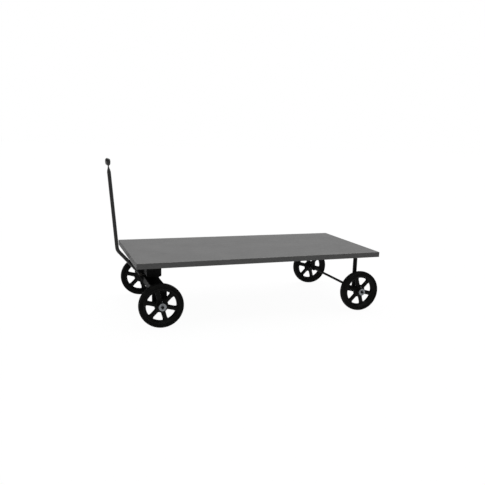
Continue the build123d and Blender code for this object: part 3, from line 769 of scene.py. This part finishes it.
# the tongue's hinge: two ears with the stop bar between them, the pin, its washer and the springs
def makeHinge():
    look = hingeLook
    washer = boxOf("hinge_washer")
    pin = Vector((washer[2].x, 0, washer[2].z))
    bolster = boxOf("lower_bolster")
    stopX, stopZ = stopPlace(pin)
    bm = bmesh.new()
    away = Vector((stopX - pin.x, 0, stopZ - pin.z))
    upAngle = math.degrees(math.atan2(away.z, away.x))
    lean = math.degrees(math.asin((look["ear"] - look["stopTip"]) / away.length))
    tip = cornerArc((stopX, stopZ), look["stopTip"], upAngle - 90 + lean, upAngle + 90 - lean, 10)
    heel = cornerArc((pin.x, pin.z), look["ear"], upAngle + 90 - lean, upAngle + 270 - 2 * lean, 14)
    body = [p for p in heel if p[0] < pin.x + 1 and p[1] < pin.z + 6]
    back = bolster[0].x
    root = [(back, bolster[0].z + look["step"]), (back, bolster[1].z - look["step"])]
    outline = convexHull(tip + body + root)
    for sign in (-1, 1):
        start = sign * look["gap"] / 2
        slab(bm, outline, *sorted((start, start + sign * look["thick"])), 1.0)
    stopBar = barProfile(look["stop"], -look["gap"] / 2, look["gap"] / 2, 0.3)
    turn(bm, stopBar, Vector((stopX, 0, stopZ)), "Y", 24)
    keepFor(bm, "tongue_ears", "tongue_hinge_ears")
    beads = bmesh.new()
    for sign in (-1, 1):
        for face in (0, look["thick"]):
            y = sign * (look["gap"] / 2 + face)
            weld(beads, [(back, y, bolster[0].z + 4), (back, y, bolster[1].z - 4)], look["bead"])
    keepBeads(beads, "tongue_hinge_welds", "black_paint", "front_truck")
    pinLow, pinHigh, _ = boxOf("hinge_pin")
    head = pinLow.y + look["headThick"]
    profile = [(0, pinLow.y)] + cornerArc((look["head"] - 1.5, pinLow.y + 1.5), 1.5, 270, 360, 4)
    profile += [(look["head"], head - 0.5), (look["head"] - 0.5, head), (look["pin"], head)]
    profile += [(look["pin"], pinHigh.y - 1.2), (look["pin"] - 1.2, pinHigh.y), (0, pinHigh.y)]
    keepTurned(profile, pin, "Y", 48, "hinge_pin", "tongue_hinge_pin")
    ring = ringProfile(look["pin"] + slip, look["washer"], washer[0].y, washer[1].y, 0.5)
    keepTurned(ring, pin, "Y", 48, "hinge_washer", "tongue_hinge_washer")
    bm = bmesh.new()
    for sign in (-1, 1):
        start = sign * (look["eyeWidth"] / 2 + look["wire"] + 0.3)
        path = []
        for i in range(look["turns"] * look["stepsPerTurn"] + 1):
            a = 2 * math.pi * i / look["stepsPerTurn"]
            y = start + sign * look["pitch"] * i / look["stepsPerTurn"]
            path.append(pin + Vector((look["coil"] * math.cos(a), y, look["coil"] * math.sin(a))))
        sweep(bm, stationsAlong(path, look["wire"], (1, 0, 0)), 10)
    keepFor(bm, "return_springs", "tongue_return_coils", 60)


# the stop bar lies against the shaft's lower run when the tongue stands up
def stopPlace(pin):
    corner = tonguePoint("corner")
    run = (corner - pin).normalized()
    off = tongueLook["tube"] + hingeLook["stop"] + 0.3
    along = tongueLook["stopAlong"]
    return pin.x + run.x * along + run.z * off, pin.z + run.z * along - run.x * off


# the outline round a set of (x, z) points, anticlockwise
def convexHull(points):
    ordered = sorted(set(points))
    hull = []
    for half in (ordered, ordered[::-1]):
        start = len(hull)
        for p in half:
            while len(hull) - start > 1 and crossing(hull[-2], hull[-1], p) <= 0:
                hull.pop()
            hull.append(p)
        hull.pop()
    return hull


def crossing(a, b, c):
    return (b[0] - a[0]) * (c[1] - a[1]) - (b[1] - a[1]) * (c[0] - a[0])


# places are (ahead of the deck's front edge, height) in millimetres
tongueLook = {"tube": 12.7, "corner": (64, 457), "bend": 55, "top": (103, 1003), "neck": (106, 1046),
              "neckWidth": 36, "neckThick": 8, "stopAlong": 28, "eye": 15,
              "neckSteps": 12, "bladeAhead": 3, "bladeBelow": 7}


def tonguePoint(name):
    ahead, height = tongueLook[name]
    return Vector((boxOf("deck_pan")[0].x - ahead, 0, height))


# the shaft's centre line: from the eye up to the bend, round it, and on to the neck
def shaftLine(pin):
    corner, top = tonguePoint("corner"), tonguePoint("top")
    lower = (pin - corner).normalized()
    upper = (top - corner).normalized()
    halfAngle = lower.angle(upper) / 2
    reach = tongueLook["bend"] / math.tan(halfAngle)
    begin, end = corner + lower * reach, corner + upper * reach
    middle = corner + (lower + upper).normalized() * (tongueLook["bend"] / math.sin(halfAngle))
    arc = []
    for i in range(25):
        swung = (begin - middle).lerp(end - middle, i / 24).normalized()
        arc.append(middle + swung * tongueLook["bend"])
    start = pin - lower * (tongueLook["eye"] - 1.5)
    return [start] + evenly([start, begin], 30)[1:-1] + arc + evenly([end, top], 40)[1:]


# the shaft: steel tube bent once, its top flattened to a blade that runs up into the grip
def makeShaft():
    look = tongueLook
    washer = boxOf("hinge_washer")
    pin = Vector((washer[2].x, 0, washer[2].z))
    line = shaftLine(pin)
    bm = bmesh.new()
    stations = stationsAlong(line, look["tube"], (0, 1, 0))
    top, neck = tonguePoint("top"), tonguePoint("neck")
    neck.x = boxOf("grip")[2].x + look["bladeAhead"]
    facing = stations[-1][2].normalized()
    level = Vector((math.copysign(1, facing.x), 0, 0))
    for i in range(1, look["neckSteps"] + 1):
        t = i / look["neckSteps"]
        ease = t * t * (3 - 2 * t)
        place = top.lerp(neck, t)
        wide = look["tube"] + (look["neckWidth"] / 2 - look["tube"]) * ease
        thin = look["tube"] + (look["neckThick"] / 2 - look["tube"]) * ease
        stations.append((place, Vector((0, wide, 0)), facing.lerp(level, t) * thin))
    last = Vector((neck.x, 0, boxOf("grip")[2].z - look["bladeBelow"]))
    stations.append((last, stations[-1][1], stations[-1][2]))
    sweep(bm, stations, 40)
    keepFor(bm, "tongue_shaft", "tongue_shaft_tube", 45, tongueFinish)
    eye = boxOf("tongue_eye")
    lip = 1.2
    wide = hingeLook["eyeWidth"] / 2
    sleeve, bore = hingeLook["sleeve"], hingeLook["pin"] + 0.06
    profile = cornerArc((look["eye"] - lip, wide - lip), lip, 90, 0, 3)
    profile += cornerArc((look["eye"] - lip, lip - wide), lip, 0, -90, 3)
    profile += [(sleeve, -wide), (sleeve, eye[0].y + lip / 2), (sleeve - lip / 2, eye[0].y), (bore, eye[0].y)]
    profile += [(bore, eye[1].y), (sleeve - lip / 2, eye[1].y), (sleeve, eye[1].y - lip / 2), (sleeve, wide)]
    keepTurned(profile, pin, "Y", 64, "tongue_eye", "tongue_eye_forging")


gripShape = {"rounding": 12, "seam": 0.35, "slim": 0.92, "fuller": 0.22, "steps": 44}


# the palm grip: an upright oval, slimmer at its middle, round at both ends, over a steel bar
def makeGrip():
    low, high, middle = boxOf("grip")
    halfLength, halfHigh, halfThick = (high.y - low.y) / 2, (high.z - low.z) / 2, (high.x - low.x) / 2
    look = gripShape
    stations = []
    for i in range(look["steps"] + 1):
        t = -1 + 2 * i / look["steps"]
        y = halfLength * math.sin(t * math.pi / 2)
        inside = max(0, abs(y) - (halfLength - look["rounding"])) / look["rounding"]
        shrink = look["rounding"] * (1 - math.sqrt(max(0, 1 - inside * inside)))
        waist = 1 - (1 - look["slim"]) * math.cos(y / halfLength * math.pi / 2) ** 2
        stations.append((Vector((middle.x, y, middle.z)), Vector(((halfThick - shrink) * waist, 0, 0)),
                         Vector((0, 0, (halfHigh - shrink) * waist))))
    bm = bmesh.new()
    sweep(bm, stations, 48)
    # squares the ellipse towards a slot, and leaves a mould line round the tall middle
    for v in bm.verts:
        tall = (v.co.z - middle.z) / halfHigh
        wide = (v.co.x - middle.x) / halfThick
        if abs(wide) > 0.02:
            fuller = min(1.0, abs(wide) * (1 + look["fuller"] * tall * tall))
            v.co.x = middle.x + math.copysign(fuller, wide) * halfThick
        if abs(v.co.x - middle.x) < 0.05:
            v.co.z += math.copysign(min(look["seam"], halfHigh - abs(v.co.z - middle.z)), tall)
    keepFor(bm, "grip", "palm_grip", 50)


fittingLook = {"stem": 3.0, "collar": 4.6, "collarHigh": 3, "tip": 2.4, "neck": 1.7, "tipHigh": 4}


# a screw-in grease fitting on each hub: a hexagon, a waist and a ball end
def makeFittings():
    look = fittingLook
    for name in wheelNames:
        node = name + "_grease_fitting"
        low, high, middle = boxOf(node)
        spot = Vector((middle.x, middle.y, 0))
        bm = bmesh.new()
        foot = high.z - look["tipHigh"] - look["collarHigh"]
        hexagon(bm, spot, look["collar"], foot, foot + look["collarHigh"], 0.4)
        z = foot + look["collarHigh"] - 0.2
        profile = [(0, low.z), (look["stem"], low.z), (look["stem"], foot + 0.2), (look["neck"], foot + 0.2),
                   (look["neck"], z + 1.2), (look["tip"], z + 2.2), (look["tip"], z + 2.9),
                   (look["tip"] - 1.1, high.z), (0, high.z)]
        turn(bm, profile, spot, "Z", 24)
        keepFor(bm, node, node + "_turned", 45)


wheelShape = {"treadCrown": 5.5, "rim": 128.4, "steps": 144, "bead": 1.2, "moulding": 0.7}
centreShape = {"rimInside": 104, "seat": 6, "hubRadius": 30, "bore": 17.5, "hubLength": 92, "spokes": 6,
               "phase": 45, "spokeWidth": 35, "spokeDepth": 24, "web": 47, "voxel": 2.5, "soften": 5}

# a spoke's stations: how far past the hub's or the rim's radius, and how wide beside spokeWidth
spokeStations = (("hubRadius", -8, 1.3125), ("hubRadius", 7, 1.04), ("hubRadius", 16, 0.96),
                 ("rimInside", -18, 0.92), ("rimInside", -7, 1.04), ("rimInside", 6, 1.25))


# the profile of a moulded-on tyre: crowned tread, rounded shoulders and a bead line on each wall
def tyreProfile(radius, half):
    s = wheelShape
    sagitta = s["treadCrown"]
    shoulder = radius - sagitta
    crown = (half ** 2 + sagitta ** 2) / (2 * sagitta)
    reach = math.degrees(math.asin(half / crown))
    tread = cornerArc((radius - crown, 0), crown, reach * 0.93, -reach * 0.93, 14)
    wall = [
        (s["rim"], half - s["bead"]),
        (s["rim"] + s["bead"], half),
        (s["rim"] + 3.6, half),
        (s["rim"] + 4.6, half - s["moulding"]),
        (s["rim"] + 6, half - s["moulding"]),
        (s["rim"] + 7, half),
        (shoulder - 4, half),
        (shoulder - 1.5, half - 0.4),
    ]
    back = [(r, -along) for r, along in reversed(wall)]
    return wall + tread + back


def makeTyres():
    for name in wheelNames:
        node = name + "_tyre"
        low, high, middle = boxOf(node)
        profile = tyreProfile((high.z - low.z) / 2, (high.y - low.y) / 2)
        keepTurned(profile, middle, "Y", wheelShape["steps"], node, node + "_moulding", 30)


# one spoke: a rounded bar that flares where it meets the hub and the rim
def addSpoke(bm, angle):
    s = centreShape
    stations = []
    turned = Matrix.Rotation(-math.radians(angle), 3, "Y")
    for ring, past, wide in spokeStations:
        stations.append((turned @ Vector((s[ring] + past, 0, 0)),
                         turned @ Vector((0, 0, s["spokeWidth"] / 2 * wide)),
                         Vector((0, s["spokeDepth"] / 2, 0))))
    sweep(bm, stations, 20)


# the whole casting as one skin: overlapping shapes are fused by a voxel remesh, which leaves the
# soft inside corners that a sand casting has
def castWheel():
    s = centreShape
    low, high, _ = boxOf("left_front_tyre")
    bm = bmesh.new()
    halfRim = (high.y - low.y) / 2 - 1.5
    rim = wheelShape["rim"] - 0.3
    halfSpoke = s["spokeDepth"] / 2
    origin = Vector((0, 0, 0))
    seat, inside = rim - s["seat"], s["rimInside"]
    rimProfile = [(rim, -halfRim), (rim, halfRim), (seat, halfRim), (inside + 1, halfSpoke),
                  (inside - 1, halfSpoke - 4), (inside - 1, 4 - halfSpoke), (inside + 1, -halfSpoke),
                  (seat, -halfRim)]
    turn(bm, rimProfile, origin, "Y", 120)
    halfHub, hub = s["hubLength"] / 2, s["hubRadius"]
    turn(bm, ringProfile(s["bore"], hub, -halfHub, halfHub, 2), origin, "Y", 72)
    turn(bm, ringProfile(hub - 4, s["web"], -halfSpoke, halfSpoke, 6), origin, "Y", 72)
    for i in range(s["spokes"]):
        addSpoke(bm, s["phase"] + 360 / s["spokes"] * i)
    rough = bpy.data.objects.new("casting", meshFrom(bm, "casting"))
    bpy.context.scene.collection.objects.link(rough)
    remesh = rough.modifiers.new("fuse", "REMESH")
    remesh.mode = "VOXEL"
    remesh.voxel_size = s["voxel"] * mm
    smooth = rough.modifiers.new("soften", "SMOOTH")
    smooth.factor = 0.5
    smooth.iterations = s["soften"]
    bpy.context.view_layer.update()
    fused = bpy.data.meshes.new_from_object(rough.evaluated_get(bpy.context.evaluated_depsgraph_get()))
    bpy.data.objects.remove(rough)
    return fused


def makeCastings():
    fused = castWheel()
    print("casting has", len(fused.polygons), "faces")
    for name in wheelNames:
        mesh = fused.copy()
        middle = boxOf(name + "_tyre")[2]
        mesh.transform(Matrix.Translation(middle * mm))
        keep(mesh, name + "_spoked_casting", "black_casting", name + "_wheel", [name + "_wheel_centre"],
             60)


makeDeck()
makeChannels()
makeBolsters()
print("deck and bolsters made")
makeTurntable()
makeKingpin()
makeAxles()
makeRearLegs()
makeFrontLegs()
makeSplitPins()
print("turntable, axles and legs made")
makeHinge()
makeShaft()
makeGrip()
print("tongue made")
makeTyres()
makeCastings()
makeFittings()
print("wheels made")


cameraLook = {"fromDeckFront": -0.54244, "aside": -4.14363, "height": 1.26912,
              "yaw": 0.3984, "pitch": -0.23075, "roll": 0.03509,
              "lens": 42.527, "shift": (-0.0777, 0.0636)}


# yaw turns the view from +Y towards +X, pitch raises it, roll leans the camera
def makeCamera():
    look = cameraLook
    yaw, pitch, roll = look["yaw"], look["pitch"], look["roll"]
    ahead = Vector((math.sin(yaw) * math.cos(pitch), math.cos(yaw) * math.cos(pitch), math.sin(pitch)))
    level = Vector((math.cos(yaw), -math.sin(yaw), 0))
    up = level.cross(ahead)
    right = level * math.cos(roll) + up * math.sin(roll)
    above = up * math.cos(roll) - level * math.sin(roll)
    turned = Matrix((right, above, -ahead)).transposed().to_4x4()
    data = bpy.data.cameras.new("camera")
    data.lens = look["lens"]
    data.sensor_width = 36
    data.shift_x, data.shift_y = look["shift"]
    camera = bpy.data.objects.new("camera", data)
    place = Vector((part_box("deck_pan")[0].x + look["fromDeckFront"], look["aside"], look["height"]))
    camera.matrix_world = Matrix.Translation(place) @ turned
    bpy.context.scene.collection.objects.link(camera)
    bpy.context.scene.camera = camera


studio = {"floorSize": 60, "floorGrey": "#232323", "floorGlow": 0.97, "skyToCamera": 1.0, "skyToObject": 0.08,
          "sun": 6.3, "sunSpread": 70, "sunTilt": (-12, 8, 0)}


def makeFloor():
    bm = bmesh.new()
    bmesh.ops.create_grid(bm, x_segments=1, y_segments=1, size=studio["floorSize"])
    mesh = bpy.data.meshes.new("floor")
    bm.to_mesh(mesh)
    bm.free()
    floor = bpy.data.objects.new("floor", mesh)
    bpy.context.scene.collection.objects.link(floor)
    material, _, shader, _ = newMaterial("white_paper_sweep")
    shader.inputs["Base Color"].default_value = hexColour(studio["floorGrey"])
    shader.inputs["Roughness"].default_value = 0.9
    shader.inputs["Specular IOR Level"].default_value = 0.0
    shader.inputs["Emission Color"].default_value = (1, 1, 1, 1)
    shader.inputs["Emission Strength"].default_value = studio["floorGlow"]
    mesh.materials.append(material)


def makeWorld():
    world = bpy.data.worlds.new("studio")
    bpy.context.scene.world = world
    world.use_nodes = True
    tree = world.node_tree
    tree.nodes.clear()
    seen = addNode(tree, "ShaderNodeBackground", {"Color": (1, 1, 1, 1), "Strength": studio["skyToCamera"]})
    cast = addNode(tree, "ShaderNodeBackground", {"Color": (1, 1, 1, 1), "Strength": studio["skyToObject"]})
    ray = addNode(tree, "ShaderNodeLightPath").outputs["Is Camera Ray"]
    mix = addNode(tree, "ShaderNodeMixShader", {0: ray, 1: cast.outputs[0], 2: seen.outputs[0]})
    output = addNode(tree, "ShaderNodeOutputWorld")
    tree.links.new(mix.outputs[0], output.inputs[0])


def makeLights():
    sun = bpy.data.lights.new("overhead", "SUN")
    sun.energy = studio["sun"]
    sun.angle = math.radians(studio["sunSpread"])
    lamp = bpy.data.objects.new("overhead", sun)
    lamp.rotation_euler = [math.radians(a) for a in studio["sunTilt"]]
    bpy.context.scene.collection.objects.link(lamp)


makeCamera()
makeFloor()
makeWorld()
makeLights()
bpy.context.scene.view_settings.view_transform = "Standard"
